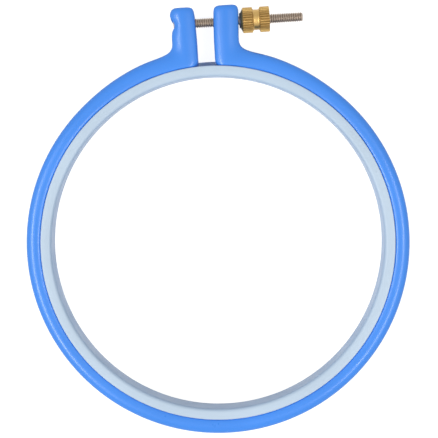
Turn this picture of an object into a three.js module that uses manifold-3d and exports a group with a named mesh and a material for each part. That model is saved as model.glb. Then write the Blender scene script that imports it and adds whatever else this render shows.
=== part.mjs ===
// A screw-clamp embroidery hoop, lying flat with its front up.
//
// The inner ring carries the cloth. The outer ring is a split ring that drops over the inner one and
// rests on the flange round its back. A screw through the two lugs at the split, and a knurled nut on
// it, draw the outer ring tight. X runs along the screw, Y from the ring's centre to the lugs, and Z
// from the back to the front. The origin is under the middle of the whole hoop, on its back face.
//
// The outer ring is one moulding that opens by bending. Rigid solids can't bend, so it is two halves
// that meet at a hair-wide seam opposite the lugs, where the second half turns.
import * as THREE from "three";
import { mergeVertices, toCreasedNormals } from "three/addons/utils/BufferGeometryUtils.js";
import Module from "manifold-3d";

// Driving dimensions, in millimetres
const HOOP_DEPTH = 11.2; // back to front
const CLEARANCE = 0.3; // between neighbouring pieces

const INNER_BORE_RADIUS = 60.0;
const INNER_WALL = 3.35;
const INNER_FRONT_ROUND = 0.9; // where the front meets the bore
const INNER_EDGE_ROUND = 0.5; // the other edges
const FLANGE_REACH = 2.35; // past the wall
const FLANGE_THICKNESS = 1.8;

const OUTER_WALL = 5.15;
const ENDS_ANGLE = 38; // in degrees, from the gap's middle to where the wall starts to thicken
const ENDS_SHIFT = 4.0; // from the ring's centre to the thickened ends' own one
const CROWN_FROM_BORE = 1.9; // from the bore to the highest line of the rounded front
const CROWN_INNER_DROP = 0.9;
const CROWN_OUTER_DROP = 2.2;
const OUTER_BACK_ROUND = 1.0;
const OUTER_BORE_ROUND = 0.4;

const LUG_GAP = 6.0; // between the lugs, at the ring
const LUG_WIDTH = 8.9;
const LUG_HEIGHT = 15.8; // above the ring's plain outer edge
const LUG_SPREAD = 0.4; // how far each lug leans outwards by its top
const LUG_FOOT = 0.8; // from the bore to the lug's buried foot
const LUG_FILLET = 4.5; // between the lug and the ring's outer edge
const LUG_EDGE_ROUND = 1.3; // front and back edges
const LUG_CORNER_OVER_EDGE = 0.9; // what the top corners' radius has over the edges' one

const NOTCH_LENGTH = 6.8; // the scoop round the screw's head, in the left lug's outer face
const NOTCH_DEPTH = 1.2;
const NOTCH_FLAT = 1.0;
const NOTCH_BELOW_SCREW = 0.5; // from the screw's axis down to the middle of the scoop
const NOTCH_LIP_SETBACK = 0.15; // how far the rounded lips lie inside the lug's face
const NOTCH_LIP_FADE = 2.2; // from the lower lip down to the plain face

const SCREW_DIAMETER = 3.4; // over the thread
const SCREW_LENGTH = 44.0; // under the head
const SCREW_BELOW_TOP = 5.5; // from the lugs' top to the screw's axis
const SCREW_TIP_CHAMFER = 0.4;
const SCREW_HOLE_CLEARANCE = 0.35; // round the shank, so that it can swing as the ring opens
const HEAD_ACROSS_FLATS = 6.0;
const HEAD_HEIGHT = 2.0;
const HEAD_CHAMFER = 0.3;

const NUT_DIAMETER = 9.0; // over the knurl
const NUT_LENGTH = 10.7;
const NOSE_DIAMETER = 5.4; // the plain nose that bears on the lug
const NOSE_LENGTH = 0.4;
const NUT_CHAMFER_END = 1.3; // from the nut's face to its full diameter
const GROOVE_START = 4.7; // from the nut's face
const GROOVE_LENGTH = 2.6;
const GROOVE_DIAMETER = 7.2;
const KNURL_DEPTH = 0.4;
const DRUM_EDGE = 0.25; // chamfer on the drums' rims
const BORE_CHAMFER = 0.5; // at the nut's outer end

// Counts and steps
const RING_STEPS = 96;
const RING_ARC_STEPS = 2;
const LUG_ARC_STEPS = 3;
const BEVEL_STEPS = 3;
const SCREW_STEPS = 24;
const KNURL_TEETH = 32;
const CREASE_ANGLE = THREE.MathUtils.degToRad(35);
const MERGE_DISTANCE = 1e-4;

// Places that follow from the driving dimensions
const rimRadius = INNER_BORE_RADIUS + INNER_WALL;
const flangeRadius = rimRadius + FLANGE_REACH;
const clampBore = rimRadius + CLEARANCE;
const clampRadius = clampBore + OUTER_WALL;
const crownRadius = clampBore + CROWN_FROM_BORE;
const crownReach = clampRadius - crownRadius; // from the crown's highest line to the outer edge
const endsAngle = THREE.MathUtils.degToRad(ENDS_ANGLE);
const endsRadius = Math.hypot(
  clampRadius * Math.sin(endsAngle),
  clampRadius * Math.cos(endsAngle) - ENDS_SHIFT,
);
const clampBack = FLANGE_THICKNESS + CLEARANCE;
const lugTop = clampRadius + LUG_HEIGHT;
const lugInner = LUG_GAP / 2;
const lugOuter = lugInner + LUG_WIDTH;
const lugCorner = LUG_EDGE_ROUND + LUG_CORNER_OVER_EDGE;
const screwY = lugTop - SCREW_BELOW_TOP;
const screwZ = (clampBack + HOOP_DEPTH) / 2;
const fillet = filletCentre();
const screwFaceX = lugFaceAt(screwY);
const notchFloorX = screwFaceX - NOTCH_DEPTH;
const notchLipX = screwFaceX - NOTCH_LIP_SETBACK;
const underHeadX = HEAD_HEIGHT - notchFloorX;
const nutX = screwFaceX + CLEARANCE;
const everything = 2 * lugTop; // longer than any piece, for cutting solids
const hoopCentreY = (clampRadius - lugTop) / 2;

const blueGloss = { color: 0x4f95f2, roughness: 0.32, metalness: 0 };
const paleSatin = { color: 0xc9d9ea, roughness: 0.45, metalness: 0 };
const brass = { color: 0xc79a50, roughness: 0.35, metalness: 1 };
const steel = { color: 0x8b7a70, roughness: 0.38, metalness: 1 };

const wasm = await Module();
wasm.setup();

// The centre of the fillet that touches a lug's outer face and the thickened outer edge beside it.
function filletCentre() {
  const x = lugOuter + LUG_FILLET;
  const reach = endsRadius + LUG_FILLET;
  return new THREE.Vector2(x, ENDS_SHIFT + Math.sqrt(reach ** 2 - x ** 2));
}

// How far out a lug's outer face is at a height y: it leans outwards from the fillet to the top.
function lugFaceAt(y) {
  const share = (y - fillet.y) / (lugTop - lugCorner - fillet.y);
  return lugOuter + LUG_SPREAD * share;
}

// A closed geometry as a solid, for joining and cutting.
function solidOf(geometry) {
  const bare = geometry.clone();
  bare.deleteAttribute("normal");
  bare.deleteAttribute("uv");
  const merged = mergeVertices(bare, MERGE_DISTANCE);
  return new wasm.Manifold(
    new wasm.Mesh({
      numProp: 3,
      vertProperties: merged.attributes.position.array,
      triVerts: new Uint32Array(merged.index.array),
    }),
  );
}

// A solid as a geometry, shaded smooth up to the crease angle.
function geometryOf(solid) {
  const mesh = solid.getMesh();
  const geometry = new THREE.BufferGeometry();
  geometry.setAttribute("position", new THREE.BufferAttribute(mesh.vertProperties, 3));
  geometry.setIndex(new THREE.BufferAttribute(mesh.triVerts, 1));
  return toCreasedNormals(geometry, CREASE_ANGLE);
}

// A named piece of the hoop.
function piece(name, solid, look) {
  const mesh = new THREE.Mesh(geometryOf(solid), new THREE.MeshStandardMaterial(look));
  mesh.name = name;
  return mesh;
}

// A box between two corners.
function boxSolid(low, high) {
  const size = high.clone().sub(low);
  const geometry = new THREE.BoxGeometry(size.x, size.y, size.z);
  const middle = low.clone().add(high).multiplyScalar(0.5);
  return solidOf(geometry.translate(middle.x, middle.y, middle.z));
}

// A closed section in radius and height, turned once round the Z axis.
function ringSolid(section) {
  const points = section.getPoints(RING_ARC_STEPS);
  const geometry = new THREE.LatheGeometry([...points, points[0]], RING_STEPS);
  return solidOf(geometry.rotateX(Math.PI / 2));
}

// A plain round block about the Z axis, taller than any piece.
function coreSolid(radius) {
  const geometry = new THREE.CylinderGeometry(radius, radius, 2 * everything, RING_STEPS);
  return solidOf(geometry.rotateX(Math.PI / 2));
}

// A section in radius and distance along the screw, turned round the screw's axis from x. A
// six-sided one has a flat to the front.
function turnedOnScrew(points, steps, x) {
  const start = steps === 6 ? Math.PI / 6 : 0;
  const geometry = new THREE.LatheGeometry(points, steps, start).rotateZ(-Math.PI / 2);
  return solidOf(geometry.translate(x, screwY, screwZ));
}

// A plain rod on the screw's axis, between two places along it.
function rodOnScrew(radius, fromX, toX, steps) {
  const section = [
    new THREE.Vector2(0, 0),
    new THREE.Vector2(radius, 0),
    new THREE.Vector2(radius, toX - fromX),
    new THREE.Vector2(0, toX - fromX),
  ];
  return turnedOnScrew(section, steps, fromX);
}

// The corner radius of a six-sided section, from its width across flats.
function hexRadius(acrossFlats) {
  return acrossFlats / 2 / Math.cos(Math.PI / 6);
}

// The inner ring's section: a straight wall with a thin flange at the back.
function innerRingSolid() {
  const edge = INNER_EDGE_ROUND;
  const front = INNER_FRONT_ROUND;
  const section = new THREE.Shape();
  section.moveTo(INNER_BORE_RADIUS + edge, 0);
  section.lineTo(flangeRadius - edge, 0);
  section.absarc(flangeRadius - edge, edge, edge, -Math.PI / 2, 0);
  section.absarc(flangeRadius - edge, FLANGE_THICKNESS - edge, edge, 0, Math.PI / 2);
  section.lineTo(rimRadius, FLANGE_THICKNESS);
  section.absarc(rimRadius - edge, HOOP_DEPTH - edge, edge, 0, Math.PI / 2);
  section.absarc(INNER_BORE_RADIUS + front, HOOP_DEPTH - front, front, Math.PI / 2, Math.PI);
  section.lineTo(INNER_BORE_RADIUS, edge);
  return ringSolid(section);
}

// The outside of the outer ring's section: along the flat back, round the outer edge and over to
// the crown's highest line.
function drawOutside(section, radius) {
  const back = OUTER_BACK_ROUND;
  const shoulder = HOOP_DEPTH - CROWN_OUTER_DROP;
  const crown = radius - crownReach;
  section.lineTo(radius - back, clampBack);
  section.absarc(radius - back, clampBack + back, back, -Math.PI / 2, 0);
  section.absellipse(crown, shoulder, crownReach, CROWN_OUTER_DROP, 0, Math.PI / 2);
}

// The plain part of the outer ring: flat behind, with a front that is rounded over to the outside.
function plainRingSolid() {
  const bore = OUTER_BORE_ROUND;
  const shoulder = HOOP_DEPTH - CROWN_INNER_DROP;
  const reach = crownRadius - clampBore;
  const section = new THREE.Shape();
  section.moveTo(clampBore + bore, clampBack);
  drawOutside(section, clampRadius);
  section.absellipse(crownRadius, shoulder, reach, CROWN_INNER_DROP, Math.PI / 2, Math.PI);
  section.lineTo(clampBore, clampBack + bore);
  return ringSolid(section);
}

// The thicker wall beside the lugs: the same outside, turned about a centre nearer the lugs, so
// that it swells evenly towards them. Its front is level from the crown's highest line outwards.
function thickEndsSolid() {
  const inside = endsRadius - crownReach - ENDS_SHIFT / 2;
  const section = new THREE.Shape();
  section.moveTo(inside, clampBack);
  drawOutside(section, endsRadius);
  section.lineTo(inside, HOOP_DEPTH);
  return ringSolid(section).translate([0, ENDS_SHIFT, 0]).subtract(coreSolid(crownRadius));
}

// The left lug's outer face, from its top corner down past the scoop round the screw's head.
function drawNotch(outline) {
  const lip = notchLipX;
  const middle = screwY - NOTCH_BELOW_SCREW;
  const flatTop = middle + NOTCH_FLAT / 2;
  const flatEnd = middle - NOTCH_FLAT / 2;
  const lowerLipY = flatEnd - NOTCH_LENGTH / 2;
  const plainY = lowerLipY - NOTCH_LIP_FADE;
  const lipY = lugTop - lugCorner;
  const upperBend = (lipY + flatTop) / 2;
  const lowerBend = (flatEnd + lowerLipY) / 2;
  const fadeBend = (lowerLipY + plainY) / 2;
  outline.bezierCurveTo(lip, upperBend, notchFloorX, upperBend, notchFloorX, flatTop);
  outline.lineTo(notchFloorX, flatEnd);
  outline.bezierCurveTo(notchFloorX, lowerBend, lip, lowerBend, lip, lowerLipY);
  outline.bezierCurveTo(lip, fadeBend, lugFaceAt(plainY), fadeBend, lugFaceAt(plainY), plainY);
}

// A lug's outline seen from the front, drawn for the right side: up its inner face, over the top,
// down its outer face, round the fillet and back inside the ring's wall.
function lugOutline(hasNotch) {
  const topInner = lugInner + LUG_SPREAD;
  const topOuter = hasNotch ? notchLipX : lugOuter + LUG_SPREAD;
  const footRadius = clampBore + LUG_FOOT;
  const filletEnd = Math.PI + Math.atan2(fillet.y - ENDS_SHIFT, fillet.x);
  const towardsFillet = Math.atan2(fillet.y, fillet.x);
  const towardsGap = Math.acos(lugInner / footRadius);
  const cornerY = lugTop - lugCorner;
  const outline = new THREE.Shape();
  outline.moveTo(lugInner, footRadius * Math.sin(towardsGap));
  outline.lineTo(topInner, cornerY);
  outline.absarc(topInner + lugCorner, cornerY, lugCorner, Math.PI, Math.PI / 2, true);
  outline.absarc(topOuter - lugCorner, cornerY, lugCorner, Math.PI / 2, 0, true);
  if (hasNotch) drawNotch(outline);
  outline.absarc(fillet.x, fillet.y, LUG_FILLET, Math.PI, filletEnd, false);
  outline.absarc(0, 0, footRadius, towardsFillet, towardsGap, false);
  return outline.getPoints(LUG_ARC_STEPS).slice(0, -1);
}

// A lug with rounded front and back edges. side is 1 for the right one and -1 for the left one.
function lugSolid(side) {
  const outline = lugOutline(side < 0).map((p) => new THREE.Vector2(side * p.x, p.y));
  const geometry = new THREE.ExtrudeGeometry(new THREE.Shape(outline), {
    depth: HOOP_DEPTH - clampBack - 2 * LUG_EDGE_ROUND,
    bevelThickness: LUG_EDGE_ROUND,
    bevelSize: LUG_EDGE_ROUND,
    bevelOffset: -LUG_EDGE_ROUND,
    bevelSegments: BEVEL_STEPS,
  });
  return solidOf(geometry.translate(0, 0, clampBack + LUG_EDGE_ROUND));
}

// Half of the outer ring with its lug, bored for the screw.
function outerHalfSolid(side) {
  const seam = (side * CLEARANCE) / 2;
  const far = side * everything;
  const half = boxSolid(
    new THREE.Vector3(Math.min(seam, far), -everything, -everything),
    new THREE.Vector3(Math.max(seam, far), everything, everything),
  );
  const split = boxSolid(
    new THREE.Vector3(-lugInner, 0, -everything),
    new THREE.Vector3(lugInner, everything, everything),
  );
  const hole = rodOnScrew(
    SCREW_DIAMETER / 2 + SCREW_HOLE_CLEARANCE,
    -everything,
    everything,
    SCREW_STEPS,
  );
  const ring = plainRingSolid().add(thickEndsSolid());
  return ring.intersect(half).subtract(split).add(lugSolid(side)).subtract(hole);
}

// The six-sided pocket in the left lug, which keeps the screw from turning with the nut.
function headPocketSolid() {
  const radius = hexRadius(HEAD_ACROSS_FLATS + 2 * CLEARANCE);
  return rodOnScrew(radius, -everything, underHeadX + CLEARANCE, 6);
}

function screwSolid() {
  const corner = hexRadius(HEAD_ACROSS_FLATS);
  const head = [
    new THREE.Vector2(0, 0),
    new THREE.Vector2(corner - HEAD_CHAMFER, 0),
    new THREE.Vector2(corner, HEAD_CHAMFER),
    new THREE.Vector2(corner, HEAD_HEIGHT),
    new THREE.Vector2(0, HEAD_HEIGHT),
  ];
  const radius = SCREW_DIAMETER / 2;
  const fullLength = HEAD_HEIGHT + SCREW_LENGTH;
  const shank = [
    new THREE.Vector2(0, HEAD_HEIGHT / 2),
    new THREE.Vector2(radius, HEAD_HEIGHT / 2),
    new THREE.Vector2(radius, fullLength - SCREW_TIP_CHAMFER),
    new THREE.Vector2(radius - SCREW_TIP_CHAMFER, fullLength),
    new THREE.Vector2(0, fullLength),
  ];
  const headX = underHeadX - HEAD_HEIGHT;
  return turnedOnScrew(head, 6, headX).add(turnedOnScrew(shank, SCREW_STEPS, headX));
}

// The nut's teeth as one long toothed bar, pointed along X.
function knurlSolid() {
  const tip = NUT_DIAMETER / 2;
  const outline = [];
  for (let i = 0; i < 2 * KNURL_TEETH; i++) {
    const angle = (i * Math.PI) / KNURL_TEETH;
    const radius = i % 2 ? tip - KNURL_DEPTH : tip;
    outline.push(new THREE.Vector2(radius * Math.cos(angle), radius * Math.sin(angle)));
  }
  const geometry = new THREE.ExtrudeGeometry(new THREE.Shape(outline), {
    depth: NUT_LENGTH + 2 * CLEARANCE,
    bevelEnabled: false,
  });
  geometry.rotateY(Math.PI / 2);
  return solidOf(geometry.translate(nutX - CLEARANCE, screwY, screwZ));
}

// The nut: a nose, two drums with a groove between them, and a bore right through. The turned
// section is a little wider than the teeth where it leaves them alone.
function nutSolid() {
  const bore = SCREW_DIAMETER / 2 + CLEARANCE;
  const nose = NOSE_DIAMETER / 2;
  const groove = GROOVE_DIAMETER / 2;
  const tip = NUT_DIAMETER / 2;
  const wide = tip + DRUM_EDGE;
  const rim = tip - DRUM_EDGE;
  const chamferSlope = (NUT_CHAMFER_END - NOSE_LENGTH) / (tip - nose);
  const grooveEnd = GROOVE_START + GROOVE_LENGTH;
  const section = [
    new THREE.Vector2(bore, 0),
    new THREE.Vector2(nose, 0),
    new THREE.Vector2(nose, NOSE_LENGTH),
    new THREE.Vector2(wide, NUT_CHAMFER_END + DRUM_EDGE * chamferSlope),
    new THREE.Vector2(wide, GROOVE_START - 2 * DRUM_EDGE),
    new THREE.Vector2(rim, GROOVE_START),
    new THREE.Vector2(groove, GROOVE_START),
    new THREE.Vector2(groove, grooveEnd),
    new THREE.Vector2(rim, grooveEnd),
    new THREE.Vector2(wide, grooveEnd + 2 * DRUM_EDGE),
    new THREE.Vector2(wide, NUT_LENGTH - 2 * DRUM_EDGE),
    new THREE.Vector2(rim, NUT_LENGTH),
    new THREE.Vector2(bore + BORE_CHAMFER, NUT_LENGTH),
    new THREE.Vector2(bore, NUT_LENGTH - BORE_CHAMFER),
    new THREE.Vector2(bore, 0),
  ];
  return turnedOnScrew(section, 2 * KNURL_TEETH, nutX).intersect(knurlSolid());
}

const hoop = new THREE.Group();
hoop.position.y = hoopCentreY;
hoop.add(
  piece("inner_ring", innerRingSolid(), paleSatin),
  piece("outer_ring_left", outerHalfSolid(-1).subtract(headPocketSolid()), blueGloss),
  piece("outer_ring_right", outerHalfSolid(1), blueGloss),
  piece("clamp_screw", screwSolid(), steel),
  piece("knurled_nut", nutSolid(), brass),
);

export default hoop;
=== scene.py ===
# %% [markdown]
# # A screw-clamp embroidery hoop
#
# The hoop is four real pieces: a pale inner ring that carries the cloth, a blue outer ring that is
# split between two lugs, a steel screw through the lugs, and a knurled brass nut that draws them
# together. The script loads the engineering model as a fixed frame. It then models the surfaces
# that the eye sees, in the same place and at the same size, and gives each its finish.

import math

import bmesh
import bpy
from mathutils import Euler, Matrix, Vector


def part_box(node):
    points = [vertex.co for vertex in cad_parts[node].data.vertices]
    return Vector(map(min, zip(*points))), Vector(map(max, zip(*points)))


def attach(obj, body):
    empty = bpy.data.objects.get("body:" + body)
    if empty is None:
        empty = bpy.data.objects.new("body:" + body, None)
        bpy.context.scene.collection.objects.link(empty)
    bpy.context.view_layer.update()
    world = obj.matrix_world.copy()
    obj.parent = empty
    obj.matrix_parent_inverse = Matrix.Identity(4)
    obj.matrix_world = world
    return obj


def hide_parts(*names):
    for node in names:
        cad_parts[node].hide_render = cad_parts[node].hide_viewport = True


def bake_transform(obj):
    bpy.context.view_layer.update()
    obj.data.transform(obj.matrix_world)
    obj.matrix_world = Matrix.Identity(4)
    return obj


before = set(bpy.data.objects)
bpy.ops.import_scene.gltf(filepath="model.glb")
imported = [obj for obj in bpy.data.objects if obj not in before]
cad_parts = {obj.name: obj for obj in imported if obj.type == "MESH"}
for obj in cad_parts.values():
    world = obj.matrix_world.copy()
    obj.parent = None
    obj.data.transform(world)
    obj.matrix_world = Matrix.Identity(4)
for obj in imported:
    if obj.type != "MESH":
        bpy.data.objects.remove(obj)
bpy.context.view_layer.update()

# %% [markdown]
# ## Places and sizes
#
# Every place comes from the frame, so the looks can't drift away from the mechanism. Only what a
# box can't tell, such as a wall or a groove, is written here, in millimetres.

# %% Read the places from the frame
MM = 0.001

inner_low, inner_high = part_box("inner_ring")
clamp_low, clamp_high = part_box("outer_ring_right")
screw_low, screw_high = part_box("clamp_screw")
nut_low, nut_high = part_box("knurled_nut")

ring_y = (inner_low.y + inner_high.y) / 2
flange_radius = (inner_high.x - inner_low.x) / 2
back = inner_low.z
front = inner_high.z
clamp_radius = clamp_high.x
clamp_back = clamp_low.z
clamp_middle = (clamp_back + front) / 2
lug_top = clamp_high.y - ring_y
screw_y = (screw_low.y + screw_high.y) / 2
screw_z = (screw_low.z + screw_high.z) / 2
ring_centre = Vector((0, ring_y, 0))
Z_AXIS = (0, 0, 1)
print("ring centre at y", round(ring_y / MM, 2), "mm")
print("outer radius", round(clamp_radius / MM, 2), "mm")

# %% [markdown]
# ## Tools of the trade
#
# Modelling by hand goes: select something, then push, extrude, turn or bevel it. In a script the
# selecting is done by place: each helper asks a question of every vertex, edge or face, and takes
# those that answer yes. Everything is deselected first, because an operator acts on all that is
# selected.

# %% Select and move by place
MERGE = 0.002 * MM
ON_PLANE = MERGE / 10  # a vertex this near a cutting plane counts as on it
REACH = 0.02 * MM  # a vertex this near a place counts as there


def deselect_objects():
    for other in bpy.context.selected_objects:
        other.select_set(False)


def start_piece(name):
    """Name the primitive just added, put its place in its mesh and open it for editing."""
    piece = bpy.context.view_layer.objects.active
    piece.name = name
    piece.data.name = name
    deselect_objects()
    piece.select_set(True)
    bpy.ops.object.transform_apply(location=True, rotation=True, scale=True)
    bpy.ops.object.mode_set(mode="EDIT")
    bpy.ops.mesh.select_mode(type="VERT")
    bpy.ops.mesh.select_all(action="SELECT")
    return piece


def middle_of(element):
    if isinstance(element, bmesh.types.BMVert):
        return element.co
    if isinstance(element, bmesh.types.BMEdge):
        return (element.verts[0].co + element.verts[1].co) / 2
    return element.calc_center_median()


def pick(piece, kind, wanted):
    """Select the vertices, edges or faces of which wanted(place, element) is true."""
    bpy.ops.mesh.select_mode(type=kind)
    bpy.ops.mesh.select_all(action="DESELECT")
    mesh = bmesh.from_edit_mesh(piece.data)
    elements = {"VERT": mesh.verts, "EDGE": mesh.edges, "FACE": mesh.faces}[kind]
    found = [e for e in elements if wanted(middle_of(e), e)]
    for element in found:
        element.select_set(True)
    mesh.select_flush_mode()
    bmesh.update_edit_mesh(piece.data)
    return len(found)


def shift(piece, wanted, by):
    """Move the vertices that are wanted."""
    count = pick(piece, "VERT", wanted)
    bpy.ops.transform.translate(value=by)
    return count


def near(a, b, reach=REACH):
    return abs(a - b) < reach


def close_up():
    """Merge what meets and turn all faces outwards."""
    bpy.ops.mesh.select_all(action="SELECT")
    bpy.ops.mesh.remove_doubles(threshold=MERGE)
    bpy.ops.mesh.normals_make_consistent(inside=False)


def finish_piece(piece, smooth_angle=35):
    """Leave edit mode and shade the piece smooth, with its true corners kept sharp."""
    bpy.ops.object.mode_set(mode="OBJECT")
    deselect_objects()
    piece.select_set(True)
    bpy.context.view_layer.objects.active = piece
    bpy.ops.object.shade_smooth_by_angle(angle=math.radians(smooth_angle))
    triangles = sum(len(f.vertices) - 2 for f in piece.data.polygons)
    print(piece.name, "has", triangles, "triangles")


def apply_modifier(piece, kind, **settings):
    modifier = piece.modifiers.new(kind.lower(), kind)
    for key, value in settings.items():
        setattr(modifier, key, value)
    bpy.context.view_layer.objects.active = piece
    bpy.ops.object.modifier_apply(modifier=modifier.name)


def cut(piece, tool, operation="DIFFERENCE"):
    """Cut a piece with a closed tool, or keep only what lies inside it, and drop the tool."""
    apply_modifier(piece, "BOOLEAN", operation=operation, object=tool, solver="EXACT")
    bpy.data.objects.remove(tool)


# %% [markdown]
# ## The inner ring
#
# The inner ring is an L in section: a straight wall, and a thin flange round its back that the
# outer ring sits on. It could be cut from two cylinders, but a lathe is closer to its shape. One
# flat section is drawn, its corners are rounded, and it is spun once round the ring's centre. The
# bore has a slight draft. The wall nearly fills the outer ring, because the clamp draws the two
# rings tight, and the joint between them is only a dark line.

# %% Model the inner ring
INNER_BORE = 60.0 * MM
INNER_WALL = 3.47 * MM
FLANGE_THICKNESS = 1.8 * MM
FRONT_ROUND = 1.4 * MM
BORE_DRAFT = 0.45 * MM  # the bore is this much narrower at its front
RIM_ROUND = 0.4 * MM
EDGE_ROUND = 0.5 * MM
RING_STEPS = 240
ROUND_SEGMENTS = 5
UPRIGHT = (math.pi / 2, 0, math.pi / 2)  # stands a flat section up across the ring's wall

rim_radius = INNER_BORE + INNER_WALL


def inner_ring():
    bore_y = ring_y - INNER_BORE
    rim_y = ring_y - rim_radius
    flange_y = ring_y - flange_radius
    flange_top = back + FLANGE_THICKNESS
    bpy.ops.mesh.primitive_plane_add(
        size=1, location=(0, (bore_y + rim_y) / 2, (back + front) / 2), rotation=UPRIGHT
    )
    piece = start_piece("inner_ring_moulding")
    bpy.ops.transform.resize(value=(1, INNER_WALL, front - back))
    bpy.ops.mesh.bisect(plane_co=(0, 0, flange_top), plane_no=Z_AXIS, threshold=ON_PLANE)
    pick(piece, "EDGE", lambda p, e: near(p.y, rim_y) and p.z < flange_top)
    bpy.ops.mesh.extrude_region_move(TRANSFORM_OT_translate={"value": (0, flange_y - rim_y, 0)})
    shift(piece, lambda p, v: near(p.y, bore_y) and near(p.z, front), (0, BORE_DRAFT, 0))
    rounds = [
        (bore_y + BORE_DRAFT, front, FRONT_ROUND),
        (rim_y, front, RIM_ROUND),
        (bore_y, back, EDGE_ROUND),
        (flange_y, back, EDGE_ROUND),
        (flange_y, flange_top, EDGE_ROUND),
    ]
    for y, z, radius in rounds:
        pick(piece, "VERT", lambda p, v: near(p.y, y) and near(p.z, z))
        bpy.ops.mesh.bevel(offset=radius, segments=ROUND_SEGMENTS, affect="VERTICES")
    pick_outline_only(piece)
    bpy.ops.mesh.select_all(action="SELECT")
    bpy.ops.mesh.spin(steps=RING_STEPS, angle=2 * math.pi, center=ring_centre, axis=Z_AXIS)
    close_up()
    finish_piece(piece)
    return piece


def pick_outline_only(piece):
    """Keep only the outline of a flat section: its faces and inner edges go."""
    pick(piece, "EDGE", lambda p, e: len(e.link_faces) > 1)
    bpy.ops.mesh.delete(type="EDGE")
    bpy.ops.mesh.select_all(action="SELECT")
    bpy.ops.mesh.delete(type="ONLY_FACE")


inner_piece = inner_ring()

# %% [markdown]
# ## The outer ring
#
# The outer ring is one moulding with soft edges all over, and its lugs grow out of the ring
# without a seam. A subdivision cage suits that: a light mesh of large faces, which the Subdivision
# Surface modifier turns into one smooth skin. Where the cage's loops lie close together the skin
# turns a tight corner, and where they lie far apart it bends slowly.
#
# Half the ring is modelled and mirrored. The section is a grid of two by four faces. It is spun
# from the bottom of the ring up to the gap. A ring of straight chords would smooth to a slightly
# smaller circle, so each loop of the cage stands out by the share that the smoothing takes away.

# %% Sizes of the outer ring
OUTER_WALL = 5.27 * MM
CROWN_FROM_BORE = 2.02 * MM
ENDS_ANGLE = math.radians(38)  # from the gap's middle to where the wall starts to thicken
ENDS_SHIFT = 4.0 * MM  # from the ring's centre to the thickened ends' own one
LUG_GAP = 6.0 * MM
LUG_WIDTH = 8.9 * MM
LUG_LEAN = 0.04  # outwards, for each unit up

BACK_SUPPORT = 1.8 * MM  # from the back face to the first loop up the outer wall
BACK_SUPPORT_BORE = 0.8 * MM
CROWN_SUPPORT = 2.27 * MM  # from the front down to the loop that shapes the crown's outside
CROWN_SUPPORT_BORE = 1.0 * MM
LUG_SUPPORT = 2.3 * MM  # from a lug's front or back to the next loop
LUG_SIDE_SUPPORT = 3.3 * MM  # from a lug's side to the next loop
LUG_FALL_OUTER = 1.3 * MM  # how far the cage's front falls away to a lug's outer side
LUG_FALL_GAP = 1.0 * MM
LUG_CROWN_UP = 0.05 * MM
SHOULDER_IN = 0.13 * MM  # the cage's outer front loop, in from the wall
SHOULDER_DOWN = 0.96 * MM
CROWN_OUT = 0.62 * MM  # the cage's top loop, out from the skin's highest line
CROWN_UP = 0.27 * MM
BORE_SHOULDER_DOWN = 0.31 * MM

clamp_bore = clamp_radius - OUTER_WALL
crown_radius = clamp_bore + CROWN_FROM_BORE
lug_inner = LUG_GAP / 2
lug_outer = lug_inner + LUG_WIDTH
ends_radius = math.hypot(
    clamp_radius * math.sin(ENDS_ANGLE), clamp_radius * math.cos(ENDS_ANGLE) - ENDS_SHIFT
)

RING_STEP = math.radians(7.5)
LAST_RING_ANGLE = math.radians(22.5)  # where the plain ring ends, measured from the gap's middle
FILLET_ANGLE = math.radians(17.0)


def swell_at(angle):
    """How much thicker the wall is at an angle from the gap's middle."""
    reach = math.sqrt(ends_radius**2 - (ENDS_SHIFT * math.sin(angle)) ** 2)
    return max(0, ENDS_SHIFT * math.cos(angle) + reach - clamp_radius)


def angle_at(x):
    """The angle from the gap's middle at which the ring's outer wall is x to the side."""
    return math.asin(x / (clamp_radius + swell_at(0)))


lug_side_angle = angle_at(lug_outer)
column_angles = [
    LAST_RING_ANGLE,
    FILLET_ANGLE,
    lug_side_angle,
    angle_at(lug_outer - LUG_SIDE_SUPPORT),
    angle_at(lug_inner + LUG_SIDE_SUPPORT),
    angle_at(lug_inner),
]


def stand_out(before, after):
    """How far out a cage loop stands, as a share, between loops at these angles from it.

    The smoothing takes four sixths of a point's place and one sixth of each neighbour's.
    """
    return 6 / (4 + math.cos(before) + math.cos(after))


# %% Draw the section and spin it round to the gap
def radius_of(place):
    return math.hypot(place.x, place.y - ring_y)


def draw_section():
    """A grid of two by four faces, across the ring's wall at its lowest point."""
    bpy.ops.mesh.primitive_grid_add(
        x_subdivisions=2,
        y_subdivisions=4,
        size=1,
        location=(0, ring_y - (clamp_bore + clamp_radius) / 2, clamp_middle),
        rotation=UPRIGHT,
    )
    piece = start_piece("outer_ring_moulding")
    height = front - clamp_back
    bpy.ops.transform.resize(value=(1, OUTER_WALL, height))
    bore_y = ring_y - clamp_bore
    wall_y = ring_y - clamp_radius
    middle_y = (bore_y + wall_y) / 2
    upper = clamp_middle + height / 4
    lower = clamp_middle - height / 4
    crown_y = ring_y - crown_radius
    shift(piece, lambda p, v: near(p.y, middle_y), (0, crown_y - middle_y, 0))

    def at(y, z):
        return lambda p, v: near(p.y, y) and near(p.z, z)

    shift(piece, at(wall_y, upper), (0, 0, front - CROWN_SUPPORT - upper))
    shift(piece, at(bore_y, upper), (0, 0, front - CROWN_SUPPORT_BORE - upper))
    shift(piece, at(wall_y, lower), (0, 0, clamp_back + BACK_SUPPORT - lower))
    shift(piece, at(bore_y, lower), (0, 0, clamp_back + BACK_SUPPORT_BORE - lower))
    shift(piece, at(wall_y, front), (0, SHOULDER_IN, -SHOULDER_DOWN))
    shift(piece, at(crown_y, front), (0, -CROWN_OUT, CROWN_UP))
    shift(piece, at(bore_y, front), (0, 0, -BORE_SHOULDER_DOWN))
    return piece


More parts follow.
